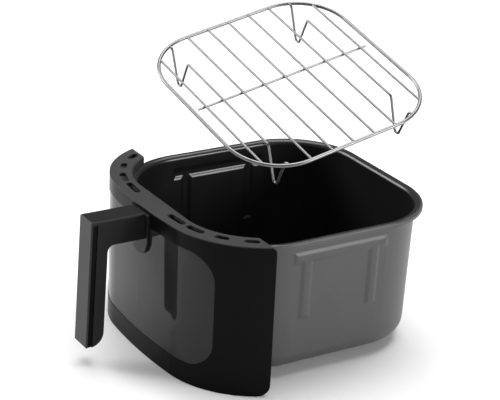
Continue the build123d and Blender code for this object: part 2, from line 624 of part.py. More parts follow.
def side_bracket_screws():
    """One screw through each side bracket into the cover's boss."""
    z = SIDE_BRACKET_LOW_Z + SIDE_BRACKET_HEIGHT / 2
    place = corner_place(SIDE_BRACKET_ANGLE, COVER_WALL + SIDE_BOSS_DEPTH, z) * Rot(0, 90, 0)
    length = BRACKET_SHEET + SIDE_BOSS_DEPTH
    shank = place * Pos(0, 0, length / 2 - BRACKET_SHEET) * Cylinder(SIDE_SCREW_R, length)
    head = place * Pos(0, 0, -BRACKET_SHEET - SIDE_SCREW_R / 2) * Cylinder(2 * SIDE_SCREW_R, SIDE_SCREW_R)
    return mirrored(shank + head)


def handle_base_plate():
    """Plate between the cover and the arm, with a half-round lower end."""
    height = BASE_PLATE_TOP_Z - BASE_PLATE_CENTRE_Z
    upper = Rectangle(2 * BASE_PLATE_R, height, align=(Align.CENTER, Align.MIN))
    outline = Pos(0, BASE_PLATE_CENTRE_Z) * (Circle(BASE_PLATE_R) + upper)
    plane = Plane(origin=(0, COVER_END_Y, 0), x_dir=(1, 0, 0), z_dir=(0, -1, 0))
    prism = extrude(plane * outline, PAN_DEPTH / 2)
    plate = prism & cover_shell(-BASE_PLATE_THICKNESS, 0, COVER_BOTTOM_Z, COVER_TOP_Z)
    outer = plate.faces().sort_by(Axis.Y)[0]
    plate = fillet(outer.edges(), BASE_PLATE_THICKNESS / 3)
    return plate - handle_screw_holes(HANDLE_SCREW_R + FIT, 2 * COVER_FRONT_Y, 0)


def grip_y(z, depth):
    """Y at height z of a line parallel to the grip's front face, depth behind it."""
    return GRIP_FRONT_Y + depth - (HANDLE_TOP_Z - z) * tan(radians(GRIP_LEAN))


def handle_outline():
    """Side view of the arm and grip, in the YZ plane."""
    root_y = COVER_FRONT_Y
    arm_low = HANDLE_TOP_Z - ARM_HEIGHT
    points = [
        (root_y, HANDLE_TOP_Z),
        (grip_y(HANDLE_TOP_Z, 0), HANDLE_TOP_Z),
        (grip_y(GRIP_BOTTOM_Z, 0), GRIP_BOTTOM_Z),
        (grip_y(GRIP_BOTTOM_Z, GRIP_DEPTH), GRIP_BOTTOM_Z),
        (grip_y(arm_low, GRIP_DEPTH), arm_low),
        (root_y, arm_low),
    ]
    outline = make_face(Polyline(*points, close=True))
    corners = outline.vertices()
    heel = corners.sort_by_distance(points[3])[0]
    outline = fillet(heel, GRIP_HEEL_R)
    inner = outline.vertices().sort_by_distance(points[4])[0]
    outline = fillet(inner, GRIP_INNER_R)
    toe = outline.vertices().sort_by_distance(points[2])[0]
    outline = fillet(toe, GRIP_TOE_R)
    brow = outline.vertices().sort_by_distance(points[1])[0]
    return fillet(brow, GRIP_TOE_R)


def handle_block():
    """Whole outer shape of the handle, with its long edges rounded."""
    half = HANDLE_WIDTH / 2
    solid = extrude(Plane.YZ.offset(-half) * handle_outline(), HANDLE_WIDTH)
    sides = solid.faces().filter_by(Axis.X)
    rim = sides.edges().filter_by(lambda edge: edge.center().Y < COVER_FRONT_Y - 1)
    solid = fillet(rim, HANDLE_EDGE_R)
    return solid - cover_block(-BASE_PLATE_THICKNESS, COVER_BOTTOM_Z, 2 * COVER_TOP_Z)


def grip_slice(near, far, z_high, half_width):
    """Slab parallel to the grip's front face, between two depths behind it."""
    z_low = GRIP_BOTTOM_Z - 5
    points = [
        (grip_y(z_high, near), z_high),
        (grip_y(z_low, near), z_low),
        (grip_y(z_low, far), z_low),
        (grip_y(z_high, far), z_high),
    ]
    outline = make_face(Polyline(*points, close=True))
    return extrude(Plane.YZ.offset(-half_width) * outline, 2 * half_width)


def handle_front_cap():
    """Face plate of the grip."""
    return handle_block() & grip_slice(-5, CAP_THICKNESS, 2 * HANDLE_TOP_Z, HANDLE_WIDTH)


def handle_accent_strip():
    """Glossy band sandwiched between the face plate and the grip."""
    top = HANDLE_TOP_Z - STRIP_TOP_GAP
    band = handle_block() & grip_slice(CAP_THICKNESS, CAP_THICKNESS + STRIP_THICKNESS, top, HANDLE_WIDTH)
    half = HANDLE_WIDTH / 2 - STRIP_INSET
    floor = GRIP_BOTTOM_Z + STRIP_INSET
    return band & block((-half, half), (2 * GRIP_FRONT_Y, 0), (floor, 2 * HANDLE_TOP_Z))


def handle_body():
    """Arm and rear of the grip, with blind holes for the handle screws."""
    body = handle_block() - grip_slice(-5, CAP_THICKNESS, 2 * HANDLE_TOP_Z, HANDLE_WIDTH)
    top = HANDLE_TOP_Z - STRIP_TOP_GAP
    body -= grip_slice(-5, CAP_THICKNESS + STRIP_THICKNESS, top, HANDLE_WIDTH)
    plate_y = COVER_FRONT_Y - BASE_PLATE_THICKNESS
    return body - handle_screw_holes(HANDLE_SCREW_R + THREAD_FIT, plate_y - HANDLE_SCREW_DEPTH - 1, plate_y + 1)


def handle_screws():
    """Two machine screws from behind the bracket into the arm."""
    seat_y = PAD_FACE_Y + BRACKET_SHEET
    tip_y = COVER_FRONT_Y - BASE_PLATE_THICKNESS - HANDLE_SCREW_DEPTH
    screws = []
    for z in HANDLE_SCREW_Z:
        head = along_y(HANDLE_SCREW_HEAD_R, 0, z, seat_y, seat_y + HANDLE_SCREW_HEAD)
        screws.append((head + along_y(HANDLE_SCREW_R, 0, z, tip_y, seat_y)).solid())
    return Compound(screws)


def ring_half_x(y):
    """Half-length across the ring's centre line at y."""
    straight = RACK_HALF_Y - RACK_CORNER_R
    over = max(abs(y) - straight, 0)
    return RACK_HALF_X - RACK_CORNER_R + sqrt(RACK_CORNER_R**2 - over**2)


def wire_reach(y):
    """Half-length of a wire along X at y, welded into the ring's inner side."""
    return ring_half_x(y) - RING_WIRE_R + WELD


def rack_ring():
    """Rounded square of thick wire."""
    path = RectangleRounded(2 * RACK_HALF_X, 2 * RACK_HALF_Y, RACK_CORNER_R).wire()
    section = Plane(origin=path @ 0, z_dir=path % 0) * Circle(RING_WIRE_R)
    return sweep(section, path=path)


def rack_cross_wires():
    """Seven straight wires across the ring."""
    rows = [-CROSS_OUTER_Y, *[step * CROSS_PITCH for step in range(-2, 3)], CROSS_OUTER_Y]
    wires = []
    for y in rows:
        wire = Pos(0, y, RACK_WIRE_RISE) * Rot(0, 90, 0) * Cylinder(RACK_WIRE_R, 2 * wire_reach(y))
        wires.append(wire.solid())
    return Compound(wires)


def rack_centre_wire():
    """Wire under the cross wires, welded to each of them."""
    z = RACK_WIRE_RISE - 2 * RACK_WIRE_R + WELD / 2
    return Pos(CENTRE_WIRE_X, 0, z) * Rot(90, 0, 0) * Cylinder(RACK_WIRE_R, 2 * CENTRE_WIRE_HALF)


def foot_corner_depth():
    """Depth of the sharp corner whose rounding ends at the foot's depth."""
    depth = FOOT_DEPTH
    for _ in range(30):
        half_angle = atan(FOOT_HALF_TOP / depth)
        depth = FOOT_DEPTH + FOOT_BEND_R * (1 / sin(half_angle) - 1)
    return depth


def leg_wire(y):
    """Wire across the ring that dips into a V-shaped foot near each end."""
    top = RACK_WIRE_RISE
    corner_z = top - foot_corner_depth()
    half = [
        (FOOT_X - FOOT_HALF_TOP, y, top),
        (FOOT_X, y, corner_z),
        (FOOT_X + FOOT_HALF_TOP, y, top),
        (wire_reach(y), y, top),
    ]
    points = [(-x, y_at, z) for x, y_at, z in reversed(half)] + half
    path = FilletPolyline(*points, radius=FOOT_BEND_R)
    section = Plane(origin=path @ 0, z_dir=path % 0) * Circle(RACK_WIRE_R)
    return sweep(section, path=path).solid()


def rack_leg_wires():
    """Two leg wires, one near the front of the rack and one near its rear."""
    return Compound([leg_wire(-LEG_Y), leg_wire(LEG_Y)])


def seat_height():
    """Height of the ring's centre line when the rack stands in the pan."""
    return PAN_WALL + SEAT_GAP + RACK_WIRE_R + FOOT_DEPTH - RACK_WIRE_RISE


def lift_axis():
    """Axis that carries the rack between its seat in the pan and its lifted place.

    The chord between the two centres rises by LIFT and drifts by LIFT_DRIFT sideways,
    and the rack turns by LIFT_TILT on the way.
    """
    heading = radians(LIFT_AXIS_HEADING)
    sideways = Vector(sin(heading), -cos(heading), 0)
    chord = hypot(LIFT, LIFT_DRIFT)
    reach = chord / 2 / tan(radians(LIFT_TILT) / 2)
    seat = Vector(SEAT_X, SEAT_Y, seat_height())
    middle = seat + sideways * (LIFT_DRIFT / 2) + Vector(0, 0, LIFT / 2)
    pivot = middle + sideways * (reach * LIFT / chord) - Vector(0, 0, reach * LIFT_DRIFT / chord)
    return Axis(pivot, Vector(cos(heading), sin(heading), 0))


def lifted(shape):
    """Place a rack piece in its lifted position."""
    seated = Pos(SEAT_X, SEAT_Y, seat_height()) * Rot(0, 0, SEAT_YAW) * shape
    return seated.rotate(lift_axis(), LIFT_TILT)


def build():
    """All the nodes by name."""
    bracket = side_bracket()
    return {
        "pan": pan(),
        "inner_window_gasket": inner_window_gasket(),
        "inner_window_glass": inner_window_glass(),
        "inner_window_frame": inner_window_frame(),
        "inner_window_studs": inner_window_studs(),
        "inner_window_nuts": inner_window_nuts(),
        "handle_bracket": handle_bracket(),
        "right_side_bracket": bracket,
        "left_side_bracket": mirror(bracket, about=Plane.YZ),
        "side_bracket_screws": side_bracket_screws(),
        "front_cover": front_cover(),
        "window_gasket": window_gasket(),
        "window_glass": window_glass(),
        "window_retainer": window_retainer(),
        "window_retainer_screws": window_retainer_screws(),
        "vent_trim": vent_trim(),
        "handle_base_plate": handle_base_plate(),
        "handle_body": handle_body(),
        "handle_accent_strip": handle_accent_strip(),
        "handle_front_cap": handle_front_cap(),
        "handle_screws": handle_screws(),
        "rack_ring": lifted(rack_ring()),
        "rack_cross_wires": lifted(rack_cross_wires()),
        "rack_centre_wire": lifted(rack_centre_wire()),
        "rack_leg_wires": lifted(rack_leg_wires()),
    }


def main():
    """Write one STEP file for each node."""
    os.makedirs("parts", exist_ok=True)
    for name, shape in build().items():
        shape.label = name
        export_step(shape, f"parts/{name}.step")
    axis = lift_axis()
    print("rack axis", axis.position, axis.direction, "tilt", LIFT_TILT)


main()
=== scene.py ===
"""Looks of an air fryer's drawer: a pan with a windowed front, an L-shaped handle and a wire rack.

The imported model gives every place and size. This script gives the model its finishes, replaces the
plain pan by a pressed one, and sets up the studio. All lengths are in metres.
"""
import logging
from dataclasses import dataclass, field
from enum import Enum
from math import cos, pi, radians, sin, tan
from typing import Callable, Optional

import bmesh
import bpy
from mathutils import Matrix, Vector

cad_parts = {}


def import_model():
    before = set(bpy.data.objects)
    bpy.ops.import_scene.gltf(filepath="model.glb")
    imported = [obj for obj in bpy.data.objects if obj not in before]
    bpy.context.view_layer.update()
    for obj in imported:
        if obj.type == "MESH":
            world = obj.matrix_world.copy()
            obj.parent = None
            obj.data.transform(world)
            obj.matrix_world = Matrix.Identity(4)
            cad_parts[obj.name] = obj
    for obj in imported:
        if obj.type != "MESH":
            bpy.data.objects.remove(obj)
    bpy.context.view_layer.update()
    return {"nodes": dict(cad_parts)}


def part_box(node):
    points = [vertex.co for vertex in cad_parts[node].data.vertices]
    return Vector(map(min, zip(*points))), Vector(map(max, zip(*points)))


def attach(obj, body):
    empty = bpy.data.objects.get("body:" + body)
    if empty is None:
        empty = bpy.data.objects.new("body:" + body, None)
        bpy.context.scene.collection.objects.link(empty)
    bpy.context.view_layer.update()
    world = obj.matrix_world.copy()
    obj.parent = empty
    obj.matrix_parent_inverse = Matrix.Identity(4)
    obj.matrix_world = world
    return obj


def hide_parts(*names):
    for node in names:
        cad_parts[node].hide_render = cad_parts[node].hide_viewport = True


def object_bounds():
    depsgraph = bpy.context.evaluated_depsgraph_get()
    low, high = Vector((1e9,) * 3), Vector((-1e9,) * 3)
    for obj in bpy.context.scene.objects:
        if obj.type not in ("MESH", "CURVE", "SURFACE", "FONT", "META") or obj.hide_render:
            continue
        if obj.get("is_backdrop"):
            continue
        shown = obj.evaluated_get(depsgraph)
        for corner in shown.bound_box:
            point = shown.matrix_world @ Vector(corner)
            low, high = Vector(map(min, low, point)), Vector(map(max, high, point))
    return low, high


log = logging.getLogger("drawer")

MM = 0.001
NEAR = 1e-6


class Element(Enum):
    """Mesh elements that can be picked in edit mode."""

    VERTEX = (True, False, False)
    EDGE = (False, True, False)
    FACE = (False, False, True)


class Body(Enum):
    """Bodies that pieces ride on."""

    DRAWER = "drawer"
    RACK = "rack"


@dataclass(frozen=True)
class Finish:
    """How a surface looks.

    Attributes:
        name: Name of the material.
        colour: Base colour, linear.
        roughness: Mean roughness.
        variation: How much the roughness varies over the surface.
        mottle: How much the colour varies over the surface.
        metallic: Metallic share.
        coat: Weight of a clear coat.
        coat_roughness: Roughness of that coat.
        ior: Refractive index.
        specular: Strength of the reflection, 0.5 being what the refractive index gives.
        transmission: Share of light let through.
        grain_scale: Fineness of the grain, in grains per metre.
        grain_height: Height of the grain.
        wear: Strength of the wear along edges.
        worn_colour: Colour shown by that wear.
        dust: Strength of the dust on faces that look up.
        streak: Stretch of the grain along Z, for brushed or drawn metal.
    """

    name: str
    colour: tuple[float, float, float]
    roughness: float
    variation: float = 0.05
    mottle: float = 0.16
    metallic: float = 0.0
    coat: float = 0.0
    coat_roughness: float = 0.1
    ior: float = 1.5
    specular: float = 0.5
    transmission: float = 0.0
    grain_scale: float = 2500.0
    grain_height: float = 0.00002
    wear: float = 0.0
    worn_colour: tuple[float, float, float] = (0.3, 0.3, 0.3)
    dust: float = 0.0
    streak: float = 1.0


class Finishes(Enum):
    """Finishes of the drawer and rack."""

    PAN_OUTSIDE = Finish(
        "pan_outside", (0.053, 0.053, 0.0545), 0.46, 0.05, coat=0.15, coat_roughness=0.3,
        grain_scale=1800.0, grain_height=0.000012, wear=0.12, worn_colour=(0.2, 0.2, 0.2), dust=0.02,
    )
    PAN_INSIDE = Finish(
        "pan_inside", (0.009, 0.009, 0.0093), 0.3, 0.04, specular=0.5,
        grain_scale=900.0, grain_height=0.00001, wear=0.05,
    )
    # Painted shade: a darker copy of the outside finish, laid on the lip's top so that it looks as dim as
    # the reflections there make it.
    PAN_LIP = Finish(
        "pan_lip_painted_shade", (0.013, 0.013, 0.0133), 0.3, 0.05, specular=0.35,
        grain_scale=1800.0, grain_height=0.000012, wear=0.1, worn_colour=(0.15, 0.15, 0.15), dust=0.01,
    )
    COVER = Finish(
        "cover_black", (0.0025, 0.0025, 0.0026), 0.3, 0.02, specular=0.06, grain_scale=3200.0,
        grain_height=0.000006, dust=0.01,
    )
    TRIM = Finish(
        "trim_grey", (0.038, 0.038, 0.0388), 0.5, 0.05, specular=0.16, grain_scale=3000.0,
        grain_height=0.00001, dust=0.03,
    )
    HANDLE = Finish(
        "handle_black", (0.0085, 0.0085, 0.0087), 0.4, 0.05, specular=0.16, grain_scale=2800.0,
        grain_height=0.00001, dust=0.02,
    )
    HANDLE_FACE = Finish(
        "handle_face_grey", (0.02, 0.02, 0.0205), 0.42, 0.04, specular=0.25, grain_scale=2800.0,
        grain_height=0.00001, dust=0.01,
    )
    # Painted shade: a near-black strip with its reflection turned down, standing in for the shade inside
    # the groove between the handle's front cap and its body.
    GLOSS_BLACK = Finish(
        "painted_groove_shade", (0.0015, 0.0015, 0.0017), 0.14, 0.03, specular=0.05,
        grain_scale=600.0, grain_height=0.000004,
    )
    SMOKED_GLASS = Finish(
        "smoked_pane", (0.026, 0.026, 0.0266), 0.04, 0.02, mottle=0.05, specular=0.13, transmission=0.04,
        grain_scale=300.0, grain_height=0.000002,
    )
    CLEAR_GLASS = Finish(
        "clear_pane", (0.9, 0.92, 0.92), 0.02, 0.01, mottle=0.01, transmission=1.0, ior=1.5,
        grain_scale=300.0, grain_height=0.000001,
    )
    SILICONE = Finish(
        "seal_silicone", (0.02, 0.02, 0.02), 0.6, 0.08, grain_scale=2000.0, grain_height=0.00002,
    )
    ZINC = Finish(
        "zinc_plate", (0.24, 0.245, 0.255), 0.4, 0.12, metallic=1.0, grain_scale=700.0,
        grain_height=0.000006,
    )
    CHROME = Finish(
        "chrome_wire", (0.2, 0.2, 0.203), 0.32, 0.06, metallic=1.0, grain_scale=500.0,
        grain_height=0.000003, streak=0.2,
    )


CAD_FINISHES: dict[str, Finishes] = {
    "inner_window_gasket": Finishes.SILICONE,
    "inner_window_glass": Finishes.CLEAR_GLASS,
    "inner_window_frame": Finishes.ZINC,
    "inner_window_studs": Finishes.ZINC,
    "inner_window_nuts": Finishes.ZINC,
    "handle_bracket": Finishes.ZINC,
    "right_side_bracket": Finishes.ZINC,
    "left_side_bracket": Finishes.ZINC,
    "side_bracket_screws": Finishes.ZINC,
    "front_cover": Finishes.COVER,
    "window_gasket": Finishes.SILICONE,
    "window_glass": Finishes.SMOKED_GLASS,
    "window_retainer": Finishes.COVER,
    "window_retainer_screws": Finishes.ZINC,
    "vent_trim": Finishes.TRIM,
    "handle_base_plate": Finishes.HANDLE,
    "handle_body": Finishes.HANDLE,
    # Painted shade: this piece fills the groove between the front cap and the body, and its near-black
    # finish stands in for the shade in that groove.
    "handle_accent_strip": Finishes.GLOSS_BLACK,
    "handle_front_cap": Finishes.HANDLE_FACE,
    "handle_screws": Finishes.ZINC,
    "rack_ring": Finishes.CHROME,
    "rack_cross_wires": Finishes.CHROME,
    "rack_centre_wire": Finishes.CHROME,
    "rack_leg_wires": Finishes.CHROME,
}


class GroupBuilder:
    """Builds a node group and keeps its nodes in reach."""

    def __init__(self, name: str) -> None:
        """Start an empty group.

        Args:
            name: Name of the group.
        """
        self.tree = bpy.data.node_groups.new(name, "ShaderNodeTree")
        self.entry = self.tree.nodes.new("NodeGroupInput")
        self.exit = self.tree.nodes.new("NodeGroupOutput")

    def take(self, name: str, kind: str, default: object) -> None:
        """Add an input socket.

        Args:
            name: Name of the socket.
            kind: Socket type, such as NodeSocketFloat.
            default: Its default value.
        """
        socket = self.tree.interface.new_socket(name=name, in_out="INPUT", socket_type=kind)
        socket.default_value = default

    def give(self, name: str, kind: str, source: bpy.types.NodeSocket) -> None:
        """Add an output socket fed by source.

        Args:
            name: Name of the socket.
            kind: Socket type.
            source: Socket that feeds it.
        """
        self.tree.interface.new_socket(name=name, in_out="OUTPUT", socket_type=kind)
        self.tree.links.new(source, self.exit.inputs[name])

    def node(self, kind: str, settings: Optional[dict] = None, **links: object) -> bpy.types.Node:
        """Add a node.

        Args:
            kind: Node type.
            settings: Properties to set on the node.
            **links: Input names with spaces as underscores, each a value or a socket.

        Returns:
            The new node.
        """
        return add_node(self.tree, kind, settings, **links)


def add_node(
    tree: bpy.types.NodeTree, kind: str, settings: Optional[dict] = None, **links: object
) -> bpy.types.Node:
    """Add a node to a tree and set or link its inputs.

    Args:
        tree: Tree that takes the node.
        kind: Node type.
        settings: Properties to set on the node.
        **links: Input names or input_N indices, each a value or a socket.

    Returns:
        The new node.
    """
    node = tree.nodes.new(kind)
    for key, value in (settings or {}).items():
        setattr(node, key, value)
    for key, value in links.items():
        place = int(key[6:]) if key.startswith("input_") else key.replace("_", " ")
        socket = node.inputs[place]
        if isinstance(value, bpy.types.NodeSocket):
            tree.links.new(value, socket)
        else:
            socket.default_value = value
    return node


class SharedEffects:
    """Node groups that several materials share."""

    def __init__(self) -> None:
        """Build the groups once."""
        self.grain = self._grain()
        self.wear = self._wear()
        self.dust = self._dust()

    def _grain(self) -> bpy.types.NodeTree:
        """Fine grain with slow changes of colour and roughness.

        Returns:
            Group with Color, Roughness and Height outputs.
        """
        group = GroupBuilder("fine_grain")
        group.take("Scale", "NodeSocketFloat", 2000.0)
        group.take("Streak", "NodeSocketFloat", 1.0)
        group.take("Roughness", "NodeSocketFloat", 0.4)
        group.take("Variation", "NodeSocketFloat", 0.05)
        group.take("Color", "NodeSocketColor", (0.1, 0.1, 0.1, 1.0))
        group.take("Mottle", "NodeSocketFloat", 0.1)
        place = group.node("ShaderNodeTexCoord").outputs["Object"]
        stretch = group.node("ShaderNodeCombineXYZ", X=1.0, Y=1.0, Z=group.entry.outputs["Streak"])
        run = group.node(
            "ShaderNodeVectorMath", {"operation": "MULTIPLY"}, input_0=place, input_1=stretch.outputs[0]
        )
        fine = group.node(
            "ShaderNodeTexNoise", Vector=run.outputs[0], Scale=group.entry.outputs["Scale"], Detail=4.0,
            Roughness=0.6,
        )
        slow = group.node("ShaderNodeTexNoise", Vector=place, Scale=22.0, Detail=5.0, Roughness=0.55)
        centred = group.node(
            "ShaderNodeMath", {"operation": "SUBTRACT"}, input_0=slow.outputs["Fac"], input_1=0.5
        )
        rough = group.node(
            "ShaderNodeMath", {"operation": "MULTIPLY_ADD"}, input_0=centred.outputs[0],
            input_1=group.entry.outputs["Variation"], input_2=group.entry.outputs["Roughness"],
        )
        shade = group.node(
            "ShaderNodeMath", {"operation": "MULTIPLY_ADD"}, input_0=centred.outputs[0],
            input_1=group.entry.outputs["Mottle"], input_2=1.0,
        )
        toned = group.node(
            "ShaderNodeVectorMath", {"operation": "SCALE"}, input_0=group.entry.outputs["Color"],
            Scale=shade.outputs[0],
        )
        group.give("Color", "NodeSocketColor", toned.outputs[0])
        group.give("Roughness", "NodeSocketFloat", rough.outputs[0])
        group.give("Height", "NodeSocketFloat", fine.outputs["Fac"])
        return group.tree

    def _wear(self) -> bpy.types.NodeTree:
        """Lighter, uneven colour along sharp edges.

        Returns:
            Group with a Color output.
        """
        group = GroupBuilder("edge_wear")
        group.take("Color", "NodeSocketColor", (0.1, 0.1, 0.1, 1.0))
        group.take("Worn Color", "NodeSocketColor", (0.3, 0.3, 0.3, 1.0))
        group.take("Amount", "NodeSocketFloat", 0.1)
        point = group.node("ShaderNodeNewGeometry").outputs["Pointiness"]
        edge = group.node("ShaderNodeMapRange", Value=point, From_Min=0.52, From_Max=0.62)
        place = group.node("ShaderNodeTexCoord").outputs["Object"]
        broken = group.node("ShaderNodeTexNoise", Vector=place, Scale=140.0, Detail=6.0, Roughness=0.7)
        patchy = group.node("ShaderNodeMapRange", Value=broken.outputs["Fac"], From_Min=0.4, From_Max=0.65)
        both = group.node(
            "ShaderNodeMath", {"operation": "MULTIPLY"}, input_0=edge.outputs[0], input_1=patchy.outputs[0]
        )
        share = group.node(
            "ShaderNodeMath", {"operation": "MULTIPLY"}, input_0=both.outputs[0],
            input_1=group.entry.outputs["Amount"],
        )
        mix = group.node(
            "ShaderNodeMix", {"data_type": "RGBA"}, input_0=share.outputs[0],
            input_6=group.entry.outputs["Color"], input_7=group.entry.outputs["Worn Color"],
        )
        group.give("Color", "NodeSocketColor", mix.outputs[2])
        return group.tree

    def _dust(self) -> bpy.types.NodeTree:
        """Thin dust on faces that look up.

        Returns:
            Group with a Color output.
        """
        group = GroupBuilder("settled_dust")
        group.take("Color", "NodeSocketColor", (0.1, 0.1, 0.1, 1.0))
        group.take("Amount", "NodeSocketFloat", 0.02)
        normal = group.node("ShaderNodeNewGeometry").outputs["Normal"]
        parts = group.node("ShaderNodeSeparateXYZ", input_0=normal)
        upward = group.node("ShaderNodeMapRange", Value=parts.outputs["Z"], From_Min=0.5, From_Max=1.0)
        place = group.node("ShaderNodeTexCoord").outputs["Object"]
        specks = group.node("ShaderNodeTexNoise", Vector=place, Scale=900.0, Detail=3.0, Roughness=0.8)
        sparse = group.node("ShaderNodeMapRange", Value=specks.outputs["Fac"], From_Min=0.45, From_Max=0.75)
        both = group.node(
            "ShaderNodeMath", {"operation": "MULTIPLY"}, input_0=upward.outputs[0],
            input_1=sparse.outputs[0],
        )
        share = group.node(
            "ShaderNodeMath", {"operation": "MULTIPLY"}, input_0=both.outputs[0],
            input_1=group.entry.outputs["Amount"],
        )
        mix = group.node(
            "ShaderNodeMix", {"data_type": "RGBA"}, input_0=share.outputs[0],
            input_6=group.entry.outputs["Color"], input_7=(0.6, 0.59, 0.57, 1.0),
        )
        group.give("Color", "NodeSocketColor", mix.outputs[2])
        return group.tree


class Paintbox:
    """Makes each finish's material once."""

    def __init__(self) -> None:
        """Build the shared node groups."""
        self.effects = SharedEffects()
        self.made: dict[str, bpy.types.Material] = {}

    def material(self, finish: Finish) -> bpy.types.Material:
        """The material of a finish.

        Args:
            finish: How the surface looks.

        Returns:
            The material, made on first use.
        """
        if finish.name not in self.made:
            self.made[finish.name] = self._make(finish)
        return self.made[finish.name]

    def _make(self, finish: Finish) -> bpy.types.Material:
        """Build a material from a finish.

        Args:
            finish: How the surface looks.

        Returns:
            The new material.
        """
        material = bpy.data.materials.new(finish.name)
        material.use_nodes = True
        tree = material.node_tree
        tree.nodes.clear()
        grain = add_node(
            tree, "ShaderNodeGroup", {"node_tree": self.effects.grain}, Scale=finish.grain_scale,
            Streak=finish.streak, Roughness=finish.roughness, Variation=2 * finish.variation,
            Color=(*finish.colour, 1.0), Mottle=2 * finish.mottle,
        )
        bump = add_node(
            tree, "ShaderNodeBump", Strength=1.0, Distance=finish.grain_height,
            Height=grain.outputs["Height"],
        )
        shader = add_node(
            tree, "ShaderNodeBsdfPrincipled", Metallic=finish.metallic, IOR=finish.ior,
            Roughness=grain.outputs["Roughness"], Normal=bump.outputs["Normal"],
        )
        shader.inputs["Specular IOR Level"].default_value = finish.specular
        shader.inputs["Coat Weight"].default_value = finish.coat
        shader.inputs["Coat Roughness"].default_value = finish.coat_roughness
        shader.inputs["Transmission Weight"].default_value = finish.transmission
        colour = self._aged(tree, finish, grain.outputs["Color"])
        tree.links.new(colour, shader.inputs["Base Color"])
        output = add_node(tree, "ShaderNodeOutputMaterial", Surface=shader.outputs["BSDF"])
        output.is_active_output = True
        return material

    def _aged(
        self, tree: bpy.types.NodeTree, finish: Finish, source: bpy.types.NodeSocket
    ) -> bpy.types.NodeSocket:
        """Lay wear and dust over a colour, where the finish has them.

        Args:
            tree: The material's tree.
            finish: How the surface looks.
            source: Output that gives the clean colour.

        Returns:
            Output that gives the aged colour.
        """
        if finish.wear:
            wear = add_node(
                tree, "ShaderNodeGroup", {"node_tree": self.effects.wear}, Color=source,
                Worn_Color=(*finish.worn_colour, 1.0), Amount=finish.wear,
            )
            source = wear.outputs["Color"]
        if finish.dust:
            dust = add_node(
                tree, "ShaderNodeGroup", {"node_tree": self.effects.dust}, Color=source, Amount=finish.dust
            )
            source = dust.outputs["Color"]
        return source


class Workshop:
    """Edit-mode tools shared by the pieces."""

    @staticmethod
    def open(piece: bpy.types.Object) -> None:
        """Enter edit mode on a piece alone.

        Args:
            piece: Mesh object to edit.
        """
        bpy.ops.object.select_all(action="DESELECT")
        bpy.context.view_layer.objects.active = piece
        piece.select_set(True)
        bpy.ops.object.mode_set(mode="EDIT")

    @staticmethod
    def close() -> None:
        """Leave edit mode."""
        bpy.ops.object.mode_set(mode="OBJECT")

    @staticmethod
    def pick(element: Element, test: Callable[[object], bool]) -> int:
        """Select the elements that pass a test, and nothing else.

        Args:
            element: Which kind of element to pick.
            test: Says whether an element is picked.

        Returns:
            How many were picked.
        """
        bpy.ops.mesh.select_all(action="DESELECT")
        bpy.context.tool_settings.mesh_select_mode = element.value
        data = bpy.context.edit_object.data
        mesh = bmesh.from_edit_mesh(data)
        items = {Element.VERTEX: mesh.verts, Element.EDGE: mesh.edges, Element.FACE: mesh.faces}[element]
        chosen = [item for item in items if test(item)]
        for item in chosen:
            item.select_set(True)
        mesh.select_flush_mode()
        bmesh.update_edit_mesh(data)
        return len(chosen)

    @staticmethod
    def rounded_block(
        name: str, low: Vector, high: Vector, radius: float, segments: int
    ) -> bpy.types.Object:
        """Block with rounded upright edges.

        Args:
            name: Name of the new object.
            low: Lowest corner.
            high: Highest corner.
            radius: Radius of the upright edges.
            segments: Steps round each of them.

        Returns:
            The new object.
        """
        bpy.ops.object.select_all(action="DESELECT")
        bpy.ops.mesh.primitive_cube_add(size=1.0, location=(0, 0, 0))
        piece = bpy.context.active_object
        piece.name = name
        piece.data.name = name
        Workshop.open(piece)
        bpy.ops.mesh.select_all(action="SELECT")
        bpy.ops.transform.resize(value=tuple(high - low))
        bpy.ops.transform.translate(value=tuple((low + high) / 2))
        Workshop.pick(Element.EDGE, lambda edge: abs((edge.verts[0].co - edge.verts[1].co).z) > NEAR)
        bpy.ops.mesh.bevel(offset=radius, segments=segments, profile=0.5, affect="EDGES")
        Workshop.close()
        return piece

    @staticmethod
    def apply(piece: bpy.types.Object, name: str, kind: str, **settings: object) -> None:
        """Add a modifier and apply it.

        Args:
            piece: Object to change.
            name: Name of the modifier.
            kind: Its type.
            **settings: Its properties.
        """
        modifier = piece.modifiers.new(name, kind)
        for key, value in settings.items():
            setattr(modifier, key, value)
        bpy.ops.object.select_all(action="DESELECT")
        bpy.context.view_layer.objects.active = piece
        piece.select_set(True)
        bpy.ops.object.modifier_apply(modifier=modifier.name)


